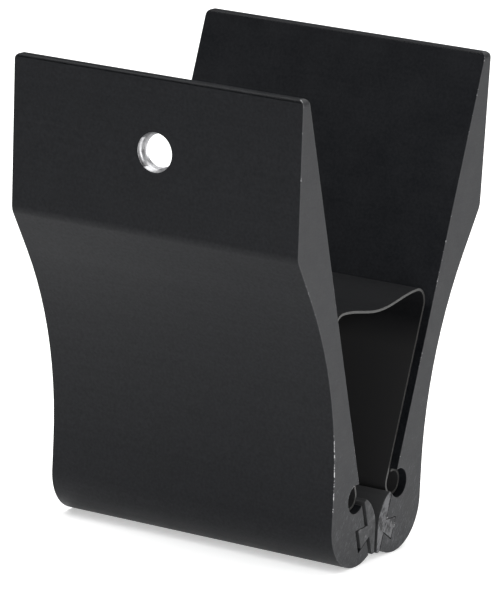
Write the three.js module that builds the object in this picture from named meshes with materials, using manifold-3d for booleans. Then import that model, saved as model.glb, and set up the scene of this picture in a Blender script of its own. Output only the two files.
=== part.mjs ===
// A wide spring clip: two mirrored grips with long wings, one bent strip of spring steel between
// them, and a soft jaw pad anchored in the foot of each grip.
// Millimetres. X runs along the clip's width, Z is up, the mid-plane is Y = 0 and the rounded feet
// stand on Z = 0. Profiles are drawn as (out, up) points, out being the distance from the mid-plane.
import * as THREE from "three";
import { mergeVertices } from "three/addons/utils/BufferGeometryUtils.js";
import Module from "manifold-3d";

const wasm = await Module();
wasm.setup();

const FRONT = -1;
const REAR = 1;

// Overall sizes
const clipWidth = 76.2;
const clipHeight = 112.3;
const clipSpread = 81.8;
const clearance = 0.3;

// Grip: wing, kink, straight flank, hollow back, rounded nose
const wingTipThickness = 2.45;
const wingLean = THREE.MathUtils.degToRad(1.7);
const tipRounding = 0.8;
const cornerRounding = 1.5;
const wingFlatLength = 36.1;
const kinkRounding = 4;
const flankLean = THREE.MathUtils.degToRad(32.5);
const hollowRadius = 88;
const noseRadius = 11;
const noseOut = 19.4;
const faceFootOut = 2.08;

// Round groove that holds the spring's eye
const grooveHeight = 16.8;
const grooveDepth = 2.03;
const grooveRadius = 3.4;

// Leaf spring
const stripThickness = 0.6;
const stripInset = 1.8;
const shoulderHeight = 55.4;
const shoulderRadius = 3.7;
const bridgeDip = 1.85;
const eyeSweep = THREE.MathUtils.degToRad(308);

// Jaw pad and the dovetail slot it slides into
const padFaceOut = 1.1;
const padBottom = 1.1;
const padBendHeight = 7.3;
const padTipThickness = 0.9;
const padTipRise = 0.35;
const padCornerRounding = 0.4;
const anchorHeight = 7.0;
const anchorNeck = 2.8;
const anchorHead = 4.9;
const anchorDepth = 3.7;
const flankPlay = 0.2;
const frontPadPull = 1.0;

// Hanging hole through the front wing
const holeDrop = 17.3;
const holeRadius = 4.55;
const throatRadius = 3.8;
const mouthDepth = 2.1;
const floorThickness = 2.8;
const spotFaceRadius = 8;

const ARC_STEP = THREE.MathUtils.degToRad(3);
const point = (out, up) => new THREE.Vector2(out, up);
const shifted = (start, direction, distance) => start.clone().addScaledVector(direction, distance);
const polar = (centre, radius, angle) =>
  point(centre.x + radius * Math.cos(angle), centre.y + radius * Math.sin(angle));

// Points along a circle, both ends included.
function arc(centre, radius, from, to) {
  const steps = Math.max(2, Math.ceil(Math.abs(to - from) / ARC_STEP));
  const step = (to - from) / steps;
  return Array.from({ length: steps + 1 }, (_, i) => polar(centre, radius, from + step * i));
}

// Points that round off the corner between two straight stretches.
function roundedCorner(before, corner, after, radius) {
  const back = before.clone().sub(corner).normalize();
  const ahead = after.clone().sub(corner).normalize();
  const halfAngle = Math.acos(back.dot(ahead)) / 2;
  const bisector = back.clone().add(ahead).normalize();
  const centre = shifted(corner, bisector, radius / Math.sin(halfAngle));
  const start = shifted(corner, back, radius / Math.tan(halfAngle)).sub(centre).angle();
  const end = shifted(corner, ahead, radius / Math.tan(halfAngle)).sub(centre).angle();
  const turn = THREE.MathUtils.euclideanModulo(end - start + Math.PI, 2 * Math.PI) - Math.PI;
  return arc(centre, radius, start, start + turn);
}

// The grip's inner face is one straight line from the foot to the wing tip.
const tipOuter = point(clipSpread / 2, clipHeight);
const tipInner = point(clipSpread / 2 - wingTipThickness, clipHeight);
const faceFoot = point(faceFootOut, 0);
const upFace = tipInner.clone().sub(faceFoot).normalize();
const intoMetal = point(upFace.y, -upFace.x);
const onFace = (height) => shifted(faceFoot, upFace, height / upFace.y);
const onWing = (drop) => point(tipOuter.x - drop * Math.tan(wingLean), clipHeight - drop);

const grooveCentre = shifted(onFace(grooveHeight), intoMetal, grooveDepth);
const grooveLipAngle = Math.acos(grooveDepth / grooveRadius);
const grooveMouthAngle = intoMetal.angle() - Math.PI;
const lowerLip = polar(grooveCentre, grooveRadius, grooveMouthAngle + grooveLipAngle);
const anchorRoot = onFace(anchorHeight);

// How much the dovetail's flanks spread with depth.
const flare = (anchorHead - anchorNeck) / 2 / (anchorDepth + clearance);

// A dovetail's four corners, from its upper side at the mouth to its lower side there.
function dovetail(mouth, depth, slack) {
  const halfWidth = (into) => anchorNeck / 2 + (into + clearance) * flare + slack;
  const corner = (into, side) =>
    shifted(shifted(anchorRoot, intoMetal, into), upFace, side * halfWidth(into));
  return [corner(mouth, 1), corner(depth, 1), corner(depth, -1), corner(mouth, -1)];
}

// Where the inner face runs out into the rounded nose.
const noseCentre = point(noseOut - noseRadius, noseRadius);
function noseStart() {
  const toFoot = faceFoot.clone().sub(noseCentre);
  const half = upFace.dot(toFoot);
  const distance = -half - Math.sqrt(half * half - toFoot.lengthSq() + noseRadius * noseRadius);
  return shifted(faceFoot, upFace, distance);
}

// A grip's outline. A pad drawn out of its seat, by padPull, needs a slot with wider play.
function gripProfile(padPull) {
  const slack = flankPlay + padPull * flare;
  const kink = onWing(wingFlatLength);
  const noseTop = point(noseOut, noseRadius);
  const bend = point(noseOut, kink.y - (kink.x - noseOut) / Math.tan(flankLean));
  const noseFrom = noseStart().sub(noseCentre).angle() - 2 * Math.PI;
  return [
    ...roundedCorner(tipOuter, tipInner, faceFoot, tipRounding),
    ...arc(
      grooveCentre,
      grooveRadius,
      grooveMouthAngle + 2 * Math.PI - grooveLipAngle,
      grooveMouthAngle + grooveLipAngle,
    ),
    ...dovetail(0, anchorDepth + clearance, slack),
    ...arc(noseCentre, noseRadius, noseFrom, 0),
    ...roundedCorner(noseTop, bend, kink, hollowRadius),
    ...roundedCorner(bend, kink, tipOuter, kinkRounding),
    ...roundedCorner(kink, tipOuter, tipInner, tipRounding),
  ];
}

// Half of the strip's middle line: bridge, shoulder, leg, then the rolled eye.
function halfStrip() {
  const shoulderMid = shoulderRadius - stripThickness / 2;
  const eyeMid = grooveRadius - clearance - stripThickness / 2;
  const shoulder = shifted(onFace(shoulderHeight), intoMetal, -(shoulderRadius + clearance));
  const toEye = grooveCentre.clone().sub(shoulder);
  const legTurn = Math.asin((shoulderMid + eyeMid) / toEye.length());
  const legDirection = toEye.clone().normalize().rotateAround(point(0, 0), -legTurn);
  const legNormal = point(-legDirection.y, legDirection.x);
  const crest = shoulder.y + shoulderMid;
  const bridgeSteps = 24;
  const bridge = Array.from({ length: bridgeSteps }, (_, i) => {
    const part = i / bridgeSteps;
    const drop = (bridgeDip * (1 + Math.cos(Math.PI * part))) / 2;
    return point(shoulder.x * part, crest - drop);
  });
  const legAngle = legNormal.angle() - 2 * Math.PI;
  const eyeStart = legAngle + Math.PI;
  return [
    ...bridge,
    ...arc(shoulder, shoulderMid, Math.PI / 2, legAngle),
    ...arc(grooveCentre, eyeMid, eyeStart, eyeStart + eyeSweep),
  ];
}

// The outline of a strip of even thickness about a middle line.
function thickened(middle, thickness) {
  const side = (sign) =>
    middle.map((at, i) => {
      const before = middle[Math.max(i - 1, 0)];
      const after = middle[Math.min(i + 1, middle.length - 1)];
      const along = after.clone().sub(before).normalize();
      return shifted(at, point(-along.y, along.x), (sign * thickness) / 2);
    });
  return [...side(1), ...side(-1).reverse()];
}

// The pad: a flat jaw face that bends away to a thin lip, and a dovetail anchor on its back.
// Pull is how far the whole pad has been drawn out of its seat.
function padProfile(pull) {
  const lip = shifted(lowerLip, intoMetal, -clearance);
  const tip = shifted(shifted(lip, intoMetal, -padTipThickness), upFace, padTipRise);
  const rise = tip.y - padBendHeight;
  const reach = tip.x - padFaceOut;
  const bendRadius = (reach * reach + rise * rise) / (2 * reach);
  const bendCentre = point(padFaceOut + bendRadius, padBendHeight);
  const bendEnd = Math.PI - Math.asin(rise / bendRadius);
  const bendStart = point(padFaceOut, padBendHeight);
  const faceBottom = point(padFaceOut, padBottom);
  const heel = shifted(onFace(padBottom), intoMetal, -clearance);
  const seated = [
    lip,
    ...dovetail(-clearance, anchorDepth, 0),
    heel,
    ...roundedCorner(heel, faceBottom, bendStart, padCornerRounding),
    ...arc(bendCentre, bendRadius, Math.PI, bendEnd),
  ];
  return seated.map((p) => shifted(p, intoMetal, -pull));
}

// A profile of (out, up) points swept along X, on one side of the mid-plane.
function sweep(profile, side, length) {
  const shape = new THREE.Shape(profile.map((p) => point(side * p.x, p.y)));
  const geometry = new THREE.ExtrudeGeometry(shape, { depth: length, bevelEnabled: false });
  const toClip = new THREE.Matrix4().makeBasis(
    new THREE.Vector3(0, 1, 0),
    new THREE.Vector3(0, 0, 1),
    new THREE.Vector3(1, 0, 0),
  );
  return geometry.translate(0, 0, -length / 2).applyMatrix4(toClip);
}

// A closed geometry as a solid, without the empty triangles that a turned shape has at its poles.
function toSolid(geometry) {
  const bare = geometry.clone().deleteAttribute("normal").deleteAttribute("uv");
  const merged = mergeVertices(bare, 1e-4);
  const corners = merged.index.array;
  const kept = [];
  for (let i = 0; i < corners.length; i += 3) {
    const triangle = [corners[i], corners[i + 1], corners[i + 2]];
    if (new Set(triangle).size === 3) kept.push(...triangle);
  }
  return new wasm.Manifold(
    new wasm.Mesh({
      numProp: 3,
      vertProperties: merged.attributes.position.array,
      triVerts: new Uint32Array(kept),
    }),
  );
}

function toGeometry(solid) {
  const mesh = solid.getMesh();
  const indexed = new THREE.BufferGeometry()
    .setAttribute("position", new THREE.BufferAttribute(new Float32Array(mesh.vertProperties), 3))
    .setIndex(new THREE.BufferAttribute(new Uint32Array(mesh.triVerts), 1));
  const flat = indexed.toNonIndexed();
  flat.computeVertexNormals();
  return flat;
}

// The hole's cutter, turned about its own axis: mouth, tapered throat, and a wide spot face that
// runs out through the wing's inner side. Depths are measured in from the wing's outer face.
function holeCutter() {
  const outside = -5;
  const beyondWing = 20;
  const segments = 72;
  const outline = [
    point(0, outside),
    point(holeRadius, outside),
    point(holeRadius, mouthDepth),
    point(throatRadius, floorThickness),
    point(spotFaceRadius, floorThickness),
    point(spotFaceRadius, beyondWing),
    point(0, beyondWing),
  ];
  const mouth = onWing(holeDrop);
  return new THREE.LatheGeometry(outline, segments)
    .rotateX(wingLean)
    .translate(0, FRONT * mouth.x, mouth.y);
}

// The clip's outline seen from the front, with its two upper corners rounded off.
function frontOutline() {
  const end = clipWidth / 2;
  const below = -clearance;
  const topLeft = point(-end, clipHeight);
  const topRight = point(end, clipHeight);
  const outline = [
    point(end, below),
    ...roundedCorner(point(end, below), topRight, topLeft, cornerRounding),
    ...roundedCorner(topRight, topLeft, point(-end, below), cornerRounding),
    point(-end, below),
  ];
  const deep = clipSpread + 2 * clearance;
  return new THREE.ExtrudeGeometry(new THREE.Shape(outline), { depth: deep, bevelEnabled: false })
    .translate(0, 0, -deep / 2)
    .rotateX(Math.PI / 2);
}

function drilled(solid) {
  return solid.subtract(toSolid(holeCutter()));
}

function grip(side, padPull) {
  const bar = toSolid(sweep(gripProfile(padPull), side, clipWidth));
  return bar.intersect(toSolid(frontOutline()));
}

function part(name, geometry, color, roughness, metalness) {
  const mesh = new THREE.Mesh(
    geometry,
    new THREE.MeshStandardMaterial({ color, roughness, metalness }),
  );
  mesh.name = name;
  return mesh;
}

const anodised = [0x2a2b2d, 0.5, 0.6];
const springSteel = [0x1b1b1c, 0.45, 0.7];
const rubber = [0x2c2c2d, 0.8, 0];

const half = halfStrip();
const mirrored = half.slice(1).reverse().map((p) => point(-p.x, p.y));
const stripOutline = thickened([...mirrored, ...half], stripThickness);

const clip = new THREE.Group();
clip.name = "spring_clip";
clip.add(
  part("front_grip", toGeometry(drilled(grip(FRONT, frontPadPull))), ...anodised),
  part("rear_grip", toGeometry(grip(REAR, 0)), ...anodised),
  part("leaf_spring", sweep(stripOutline, REAR, clipWidth - 2 * stripInset), ...springSteel),
  part("front_jaw_pad", sweep(padProfile(frontPadPull), FRONT, clipWidth), ...rubber),
  part("rear_jaw_pad", sweep(padProfile(0), REAR, clipWidth), ...rubber),
);

export default clip;
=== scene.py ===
import math

import bmesh
import bpy
from mathutils import Matrix, Vector


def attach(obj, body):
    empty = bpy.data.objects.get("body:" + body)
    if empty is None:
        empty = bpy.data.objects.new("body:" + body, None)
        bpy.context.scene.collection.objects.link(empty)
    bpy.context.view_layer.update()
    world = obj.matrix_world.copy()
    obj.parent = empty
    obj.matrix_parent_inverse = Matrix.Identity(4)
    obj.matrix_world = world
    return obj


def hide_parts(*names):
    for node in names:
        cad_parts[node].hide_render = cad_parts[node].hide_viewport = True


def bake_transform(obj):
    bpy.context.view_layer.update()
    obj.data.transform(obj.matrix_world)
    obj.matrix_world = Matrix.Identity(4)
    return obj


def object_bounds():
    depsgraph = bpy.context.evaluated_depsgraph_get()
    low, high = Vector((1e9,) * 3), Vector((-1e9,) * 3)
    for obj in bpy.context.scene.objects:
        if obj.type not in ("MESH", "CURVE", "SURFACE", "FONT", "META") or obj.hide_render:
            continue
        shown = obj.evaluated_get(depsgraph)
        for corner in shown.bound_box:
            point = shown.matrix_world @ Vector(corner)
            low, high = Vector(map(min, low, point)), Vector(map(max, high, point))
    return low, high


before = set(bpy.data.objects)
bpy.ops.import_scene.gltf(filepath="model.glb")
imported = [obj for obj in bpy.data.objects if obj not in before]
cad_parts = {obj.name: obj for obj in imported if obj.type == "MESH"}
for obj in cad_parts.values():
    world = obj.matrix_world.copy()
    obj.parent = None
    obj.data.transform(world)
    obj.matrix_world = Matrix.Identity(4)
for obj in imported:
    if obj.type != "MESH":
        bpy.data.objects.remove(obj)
cad_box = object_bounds()

MM = 0.001
floor_height = cad_box[0].z
clip_height = cad_box[1].z

# The camera: where it stands round the clip, how far off, how it is rolled and what it aims at.
AZIMUTH = math.radians(31.73)
ELEVATION = math.radians(13.33)
ROLL = math.radians(2.755)
DISTANCE = 1.1929
AIM_RIGHT = 0.00368
AIM_UP = 0.05291
LENS = 309.2
SENSOR_WIDTH = 36
FURTHEST_SEEN = 20


def make_camera():
    back = Vector(
        (
            math.sin(AZIMUTH) * math.cos(ELEVATION),
            -math.cos(AZIMUTH) * math.cos(ELEVATION),
            math.sin(ELEVATION),
        )
    )
    level_right = Vector((math.cos(AZIMUTH), math.sin(AZIMUTH), 0))
    level_up = back.cross(level_right)
    right = level_right * math.cos(ROLL) + level_up * math.sin(ROLL)
    up = level_up * math.cos(ROLL) - level_right * math.sin(ROLL)
    data = bpy.data.cameras.new("camera")
    data.lens = LENS
    data.sensor_width = SENSOR_WIDTH
    data.clip_end = FURTHEST_SEEN
    camera = bpy.data.objects.new("camera", data)
    bpy.context.collection.objects.link(camera)
    turn = Matrix((right, up, back)).transposed().to_4x4()
    place = right * AIM_RIGHT + up * AIM_UP + back * DISTANCE
    camera.matrix_world = Matrix.Translation(place) @ turn
    bpy.context.scene.camera = camera


make_camera()


# ---------------------------------------------------------------- materials


class Nodes:
    """A material's node tree, with short calls for the nodes used here."""

    def __init__(self, name, metallic=0.0, specular=0.5):
        self.material = bpy.data.materials.new(name)
        self.material.use_nodes = True
        self.tree = self.material.node_tree
        self.shader = self.tree.nodes["Principled BSDF"]
        self.shader.inputs["Metallic"].default_value = metallic
        self.shader.inputs["Specular IOR Level"].default_value = specular
        self.place = self.tree.nodes.new("ShaderNodeTexCoord").outputs["Object"]

    def link(self, source, target):
        self.tree.links.new(source, target)

    def stretched(self, scale, turn=0.0):
        """Object coordinates turned about X, then scaled along each axis."""
        turned = self.tree.nodes.new("ShaderNodeMapping")
        turned.inputs["Rotation"].default_value = (turn, 0, 0)
        self.link(self.place, turned.inputs["Vector"])
        scaled = self.tree.nodes.new("ShaderNodeMapping")
        scaled.inputs["Scale"].default_value = scale
        self.link(turned.outputs["Vector"], scaled.inputs["Vector"])
        return scaled.outputs["Vector"]

    def noise(self, scale, detail=4, roughness=0.6, seed=0, turn=0.0):
        """Noise with its own number of waves a metre along each axis."""
        node = self.tree.nodes.new("ShaderNodeTexNoise")
        node.noise_dimensions = "4D"
        node.inputs["W"].default_value = seed
        node.inputs["Scale"].default_value = 1
        node.inputs["Detail"].default_value = detail
        node.inputs["Roughness"].default_value = roughness
        self.link(self.stretched(scale, turn), node.inputs["Vector"])
        return node.outputs["Fac"]

    def along(self, axis):
        """The object coordinate along one axis, in metres."""
        node = self.tree.nodes.new("ShaderNodeSeparateXYZ")
        self.link(self.place, node.inputs["Vector"])
        return node.outputs[axis]

    def distance(self):
        """The distance from the object's own origin, in metres."""
        node = self.tree.nodes.new("ShaderNodeVectorMath")
        node.operation = "LENGTH"
        self.link(self.place, node.inputs[0])
        return node.outputs["Value"]

    def fade(self, value, start, end, at_start=0.0, at_end=1.0):
        """A value taken evenly from one end of a range to the other, and held beyond it."""
        node = self.tree.nodes.new("ShaderNodeMapRange")
        settings = (("From Min", start), ("From Max", end), ("To Min", at_start), ("To Max", at_end))
        for name, setting in settings:
            node.inputs[name].default_value = setting
        self.link(value, node.inputs["Value"])
        return node.outputs["Result"]

    def ramp(self, value, low, high):
        """A blend between two stops, each (position, colour or grey)."""
        node = self.tree.nodes.new("ShaderNodeValToRGB")
        for element, (position, colour) in zip(node.color_ramp.elements, (low, high)):
            element.position = position
            rgb = colour if isinstance(colour, tuple) else (colour,) * 3
            element.color = (*rgb, 1)
        self.link(value, node.inputs["Fac"])
        return node.outputs["Color"]

    def math(self, operation, *values):
        node = self.tree.nodes.new("ShaderNodeMath")
        node.operation = operation
        for value, socket in zip(values, node.inputs):
            if isinstance(value, (int, float)):
                socket.default_value = value
            else:
                self.link(value, socket)
        return node.outputs["Value"]

    def over(self, colour, mask, bare):
        """A colour with a plain bare colour laid over it where the mask is 1."""
        node = self.tree.nodes.new("ShaderNodeMix")
        node.data_type = "RGBA"
        self.link(mask, node.inputs["Factor"])
        self.link(colour, node.inputs["A"])
        node.inputs["B"].default_value = (*bare, 1)
        return node.outputs["Result"]

    def finish(self, colour, roughness, height=None, depth=0.0):
        self.link(colour, self.shader.inputs["Base Color"])
        self.link(roughness, self.shader.inputs["Roughness"])
        if height is None:
            return self.material
        bump = self.tree.nodes.new("ShaderNodeBump")
        bump.inputs["Distance"].default_value = depth
        self.link(height, bump.inputs["Height"])
        self.link(bump.outputs["Normal"], self.shader.inputs["Normal"])
        return self.material


# Noise patterns, in waves a metre along X, Y and Z.
DIE_LINES = (6, 900, 900)
FINE_GRAIN = (1500, 1500, 1500)
SOFT_CLOUD = (120, 120, 120)
SCRATCH_LINES = (900, 3200, 700)
SCRATCH_PATCHES = (160, 160, 160)
SAW_MARKS = (50, 220, 2600)
SAWN_CLOUD = (300, 300, 300)
SAWN_GRAIN = (2200, 2200, 2200)
NICKS = (650, 650, 650)
NICK_PATCHES = (45, 45, 45)
DRILL_RINGS = (60, 2400, 60)
DRILL_SMEARS = (500, 120, 500)
ROLLED_LINES = (40, 700, 700)
STEEL_GRAIN = (1300, 1300, 1300)
SHEARED_GRAIN = (900, 900, 900)
MOULD_LINES = (12, 1400, 1400)
PAD_SAW_MARKS = (300, 1900, 260)
PAD_BLOTCHES = (700, 700, 700)
FLOOR_MOTTLE = (30, 30, 30)

# How far the scratches and the pads' saw marks slant, about X.
SCRATCH_SLANT = math.radians(28)
PAD_MARK_SLANT = math.radians(35)

# Base colours, linear.
ANODISE_DARK = (0.0038, 0.0044, 0.0056)
ANODISE_PALE = (0.0098, 0.0106, 0.0124)
SAWN_DARK = (0.0105, 0.0110, 0.0124)
SAWN_PALE = (0.0235, 0.0243, 0.0270)
SCRATCH = (0.085, 0.087, 0.093)
EDGE_DARK = (0.022, 0.0225, 0.024)
EDGE_PALE = (0.045, 0.0455, 0.048)
NICK = (0.50, 0.50, 0.51)
DRILLED_DARK = (0.32, 0.32, 0.33)
DRILLED_PALE = (0.68, 0.68, 0.69)
BRIDGE_DARK = (0.0070, 0.0073, 0.0080)
BRIDGE_PALE = (0.0110, 0.0113, 0.0122)
# The legs' paler colour is painted light for the shaded cavity under the bridge.
LEG_PAINTED_LIGHT = (0.024, 0.024, 0.0245)
SHEARED_DARK = (0.038, 0.038, 0.037)
SHEARED_PALE = (0.066, 0.066, 0.064)
MOULDED_DARK = (0.034, 0.0345, 0.036)
MOULDED_PALE = (0.046, 0.0465, 0.048)
CUT_DARK = (0.020, 0.0205, 0.022)
CUT_PALE = (0.068, 0.0685, 0.071)
SCUFF = (0.115, 0.115, 0.12)

# Scratches fade out from the clip's foot to this height.
FOOT = 2 * MM
SCRATCHES_END = 45 * MM

# The strip is darker on the bridge and paler on the legs; the paler legs are painted light, lifting the
# shade in the cavity under the bridge. It changes between these heights.
PAINTED_LIGHT_GONE_ABOVE = 53 * MM
PAINTED_LIGHT_FULL_BELOW = 46 * MM

# How much more of the noise's range a scuff takes to become full.
SCUFF_BAND = 0.14


def anodised():
    """Black anodised extrusion: satin, with faint die lines along X and a fine grain."""
    n = Nodes("black_anodised", specular=0.14)
    lines = n.noise(DIE_LINES, detail=3, seed=1)
    grain = n.noise(FINE_GRAIN, detail=3, seed=2)
    cloud = n.noise(SOFT_CLOUD, detail=5, seed=12)
    fine = n.math("MULTIPLY_ADD", lines, 0.25, grain)
    tone = n.math("MULTIPLY_ADD", cloud, 0.35, fine)
    colour = n.ramp(n.fade(tone, 0.58, 1.02), (0.1, ANODISE_DARK), (0.9, ANODISE_PALE))
    roughness = n.ramp(cloud, (0.3, 0.42), (0.75, 0.52))
    return n.finish(colour, roughness, fine, 0.02 * MM)


def scratches(n, density):
    """Fine slanting scratches and specks, thickest towards the clip's foot."""
    slanting = n.noise(SCRATCH_LINES, detail=4, roughness=0.75, seed=13, turn=SCRATCH_SLANT)
    patches = n.noise(SCRATCH_PATCHES, detail=2, seed=14)
    low = n.fade(n.along("Z"), SCRATCHES_END, FOOT)
    patchy = n.math("MULTIPLY_ADD", patches, 0.25, slanting)
    amount = n.math("MULTIPLY_ADD", low, density, patchy)
    return n.fade(amount, 0.78, 0.96)


def sawn_end():
    """The grey cut ends of the extrusions: fine saw marks, with scratches and specks."""
    n = Nodes("sawn_end", metallic=0.2, specular=0.4)
    marks = n.noise(SAW_MARKS, detail=3, seed=3)
    cloud = n.noise(SAWN_CLOUD, detail=5, seed=4)
    grain = n.noise(SAWN_GRAIN, detail=2, seed=15)
    grainy = n.math("MULTIPLY_ADD", grain, 0.5, cloud)
    tone = n.math("MULTIPLY_ADD", marks, 0.5, grainy)
    grey = n.ramp(n.fade(tone, 0.6, 1.4), (0.1, SAWN_DARK), (0.9, SAWN_PALE))
    colour = n.over(grey, scratches(n, density=0.14), SCRATCH)
    roughness = n.ramp(cloud, (0.3, 0.5), (0.7, 0.62))
    return n.finish(colour, roughness, tone, 0.03 * MM)


def worn_edge():
    """The extrusions' sharp edges: dark, with small bare nicks that come in patches."""
    n = Nodes("worn_edge", specular=0.3)
    nick = n.noise(NICKS, detail=5, roughness=0.75, seed=5)
    patches = n.noise(NICK_PATCHES, detail=2, seed=16)
    mask = n.fade(n.math("MULTIPLY_ADD", patches, 0.6, nick), 0.90, 0.96)
    base = n.ramp(nick, (0.3, EDGE_DARK), (0.7, EDGE_PALE))
    colour = n.over(base, mask, NICK)
    roughness = n.ramp(nick, (0.3, 0.35), (0.7, 0.5))
    return n.finish(colour, roughness)


def drilled_wall():
    """The hole's wall: bright bare aluminium with rings left by the drill."""
    n = Nodes("drilled_wall", metallic=1.0)
    rings = n.noise(DRILL_RINGS, detail=2, seed=6)
    smears = n.noise(DRILL_SMEARS, detail=3, seed=17)
    tone = n.math("MULTIPLY_ADD", smears, 0.8, rings)
    colour = n.ramp(n.fade(tone, 0.6, 1.2), (0.1, DRILLED_DARK), (0.9, DRILLED_PALE))
    roughness = n.ramp(smears, (0.3, 0.34), (0.7, 0.5))
    return n.finish(colour, roughness, rings, 0.03 * MM)


def spring_steel():
    """Blackened spring strip, rolled smooth, with the legs painted paler: painted light for the shaded
    cavity under the bridge.
    """
    n = Nodes("spring_steel", specular=0.04)
    rolled = n.noise(ROLLED_LINES, detail=4, seed=7)
    grain = n.noise(STEEL_GRAIN, detail=3, seed=18)
    tone = n.math("MULTIPLY_ADD", rolled, 0.4, grain)
    bridge = n.ramp(n.fade(tone, 0.4, 1.0), (0.1, BRIDGE_DARK), (0.9, BRIDGE_PALE))
    # The legs are painted paler below the bridge: painted light in the shaded cavity under the bridge.
    colour = n.over(bridge, n.fade(n.along("Z"), PAINTED_LIGHT_GONE_ABOVE, PAINTED_LIGHT_FULL_BELOW), LEG_PAINTED_LIGHT)
    roughness = n.ramp(rolled, (0.3, 0.42), (0.7, 0.5))
    return n.finish(colour, roughness, grain, 0.01 * MM)


def sheared_edge():
    """The strip's sheared sides, where the black finish is thin."""
    n = Nodes("sheared_edge", metallic=0.5)
    grain = n.noise(SHEARED_GRAIN, detail=3, seed=8)
    colour = n.ramp(grain, (0.35, SHEARED_DARK), (0.7, SHEARED_PALE))
    roughness = n.ramp(grain, (0.3, 0.4), (0.7, 0.5))
    return n.finish(colour, roughness)


def pad_skin():
    """The pads' moulded faces."""
    n = Nodes("pad_skin", specular=0.25)
    lines = n.noise(MOULD_LINES, detail=3, seed=9)
    colour = n.ramp(lines, (0.35, MOULDED_DARK), (0.7, MOULDED_PALE))
    roughness = n.ramp(lines, (0.3, 0.6), (0.7, 0.75))
    return n.finish(colour, roughness, lines, 0.03 * MM)


def pad_cut(name, scuff_start):
    """A pad's cut ends: slanting saw marks and pale scuffs, more of them for a lower start."""
    n = Nodes(name, specular=0.3)
    marks = n.noise(PAD_SAW_MARKS, detail=4, seed=10, turn=PAD_MARK_SLANT)
    blotches = n.noise(PAD_BLOTCHES, detail=4, seed=19)
    tone = n.math("MULTIPLY_ADD", marks, 0.8, blotches)
    grey = n.ramp(n.fade(tone, 0.6, 1.2), (0.1, CUT_DARK), (0.9, CUT_PALE))
    colour = n.over(grey, n.fade(tone, scuff_start, scuff_start + SCUFF_BAND), SCUFF)
    roughness = n.ramp(marks, (0.3, 0.65), (0.7, 0.8))
    return n.finish(colour, roughness, tone, 0.08 * MM)


# ---------------------------------------------------------------- pieces

# Material indexes: an extruded or rolled face, a cut end, a rounded edge, and the hole's wall.
SKIN, END, EDGE, WALL = range(4)
END_LEAN = 0.02
VERTEX_MERGE = 0.001 * MM
FLAT_MERGE = math.radians(0.3)
SHARP_CORNER = math.radians(25)
SMOOTH_LIMIT = math.radians(40)
NORMAL_WEIGHT = 80

# How far each kind of piece's sharp edges are rounded.
GRIP_ROUNDING = 0.14 * MM
PAD_ROUNDING = 0.12 * MM
STRIP_ROUNDING = 0.05 * MM

# The hanging hole: how far its centre is below the wing's tip, and the widest its cuts reach.
HOLE_DROP = 17.3 * MM
HOLE_REACH = 8.3 * MM


def in_hole(face):
    """True where every corner of a face is within the hole's reach of its centre line."""
    height = clip_height - HOLE_DROP
    return all(math.hypot(v.co.x, v.co.z - height) < HOLE_REACH for v in face.verts)


def face_kind(face, has_hole):
    """The material index of a face. Any face that leans towards an end counts as cut."""
    if has_hole and in_hole(face):
        return WALL
    if abs(face.normal.x) > END_LEAN:
        return END
    return SKIN


def is_sharp(edge):
    """True for an edge to be rounded. The hole's own edges stay as the drill left them."""
    if len(edge.link_faces) != 2 or any(face.material_index == WALL for face in edge.link_faces):
        return False
    return edge.calc_face_angle() > SHARP_CORNER


def refined(node, name, materials, bevel, has_hole=False):
    """A finer copy of a CAD node: flats joined, sharp edges rounded, a material for each kind of face."""
    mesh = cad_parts[node].data.copy()
    mesh.name = name
    mesh.materials.clear()
    for material in materials:
        mesh.materials.append(material)
    bm = bmesh.new()
    bm.from_mesh(mesh)
    bmesh.ops.remove_doubles(bm, verts=bm.verts, dist=VERTEX_MERGE)
    bmesh.ops.dissolve_limit(bm, angle_limit=FLAT_MERGE, verts=bm.verts, edges=bm.edges)
    bm.normal_update()
    for face in bm.faces:
        face.smooth = True
        face.material_index = face_kind(face, has_hole)
    sharp = [edge for edge in bm.edges if is_sharp(edge)]
    bmesh.ops.bevel(
        bm, geom=sharp, offset=bevel, offset_type="OFFSET", segments=2, profile=0.5,
        affect="EDGES", clamp_overlap=False, material=EDGE,
    )
    bm.to_mesh(mesh)
    bm.free()
    mesh.set_sharp_from_angle(angle=SMOOTH_LIMIT)
    piece = bpy.data.objects.new(name, mesh)
    bpy.context.collection.objects.link(piece)
    modifier = piece.modifiers.new("weighted", "WEIGHTED_NORMAL")
    modifier.keep_sharp = True
    modifier.weight = NORMAL_WEIGHT
    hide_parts(node)
    return piece


grip_materials = (anodised(), sawn_end(), worn_edge(), drilled_wall())
skin = pad_skin()
pad_cuts = {
    "front": pad_cut("front_pad_cut", scuff_start=1.00),
    "rear": pad_cut("rear_pad_cut", scuff_start=0.80),
}
steel, sheared = spring_steel(), sheared_edge()

for side in ("front", "rear"):
    has_hole = side == "front"
    grip = refined(f"{side}_grip", f"{side}_grip_finish", grip_materials, GRIP_ROUNDING, has_hole)
    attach(grip, side)
    cut = pad_cuts[side]
    pad = refined(f"{side}_jaw_pad", f"{side}_jaw_pad_finish", (skin, cut, cut), PAD_ROUNDING)
    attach(pad, side)


def spring_half(name, side):
    """One half of the strip, cut at the mid-plane."""
    piece = refined("leaf_spring", name, (steel, sheared, sheared), STRIP_ROUNDING)
    bm = bmesh.new()
    bm.from_mesh(piece.data)
    geometry = bm.verts[:] + bm.edges[:] + bm.faces[:]
    bmesh.ops.bisect_plane(
        bm, geom=geometry, plane_co=(0, 0, 0), plane_no=(0, -side, 0), clear_outer=True,
    )
    bm.to_mesh(piece.data)
    bm.free()
    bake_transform(piece)


spring_half("leaf_spring_front_half", -1)
spring_half("leaf_spring_rear_half", 1)


# ---------------------------------------------------------------- studio


FLOOR_SIZE = 12
WORLD_STRENGTH = 0.02

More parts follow.
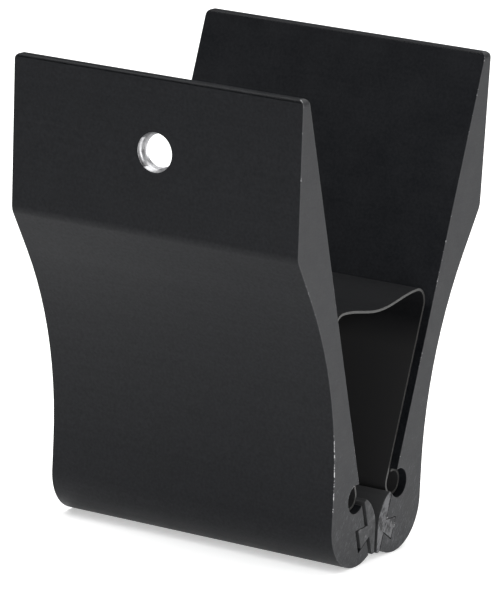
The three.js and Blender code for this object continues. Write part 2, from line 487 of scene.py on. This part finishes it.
# The floor's glow near the clip rises between these values of X + Y. Far off, it rises with distance.
NEAR_GLOW_START = -0.45
NEAR_GLOW_END = -0.15
NEAR_GLOW = 0.45
FAR_GLOW_START = 0.8
FAR_GLOW_END = 1.8

# Each lamp's name, place, size and power. All of them aim at the clip's middle.
LAMPS = (
    ("key_light", (-0.45, -0.30, 1.15), 1.1, 16.5),
    ("back_light", (0.1, 0.7, 1.2), 1.3, 14),
    ("side_light", (1.1, 0.1, 0.5), 0.6, 4),
    ("low_light", (0.9, -0.6, 0.3), 0.5, 5),
)


def make_floor():
    """A white table that glows a little under and behind the clip, and far off on every side."""
    bpy.ops.mesh.primitive_plane_add(size=FLOOR_SIZE, location=(0, 0, floor_height))
    floor = bpy.context.object
    floor.name = "floor"
    n = Nodes("floor_white", specular=0.1)
    grain = n.noise(FLOOR_MOTTLE, detail=2, seed=11)
    n.shader.inputs["Emission Color"].default_value = (1, 1, 1, 1)
    forward = n.math("ADD", n.along("X"), n.along("Y"))
    near = n.fade(forward, NEAR_GLOW_START, NEAR_GLOW_END, 0.0, NEAR_GLOW)
    far = n.fade(n.distance(), FAR_GLOW_START, FAR_GLOW_END)
    n.link(n.math("MAXIMUM", near, far), n.shader.inputs["Emission Strength"])
    colour = n.ramp(grain, (0.3, 0.9), (0.7, 0.93))
    roughness = n.ramp(grain, (0.3, 0.85), (0.7, 0.95))
    floor.data.materials.append(n.finish(colour, roughness))


def make_area(name, place, aim, size, power):
    data = bpy.data.lights.new(name, "AREA")
    data.size = size
    data.energy = power
    lamp = bpy.data.objects.new(name, data)
    bpy.context.collection.objects.link(lamp)
    lamp.location = place
    lamp.rotation_euler = (Vector(aim) - Vector(place)).to_track_quat("-Z", "Y").to_euler()


def make_world(strength):
    world = bpy.data.worlds.new("studio")
    bpy.context.scene.world = world
    world.use_nodes = True
    background = world.node_tree.nodes["Background"]
    background.inputs["Color"].default_value = (1, 1, 1, 1)
    background.inputs["Strength"].default_value = strength


middle = (0, 0, clip_height / 2)
make_floor()
make_world(WORLD_STRENGTH)
for name, place, size, power in LAMPS:
    make_area(name, place, middle, size, power)
bpy.context.scene.view_settings.view_transform = "Standard"
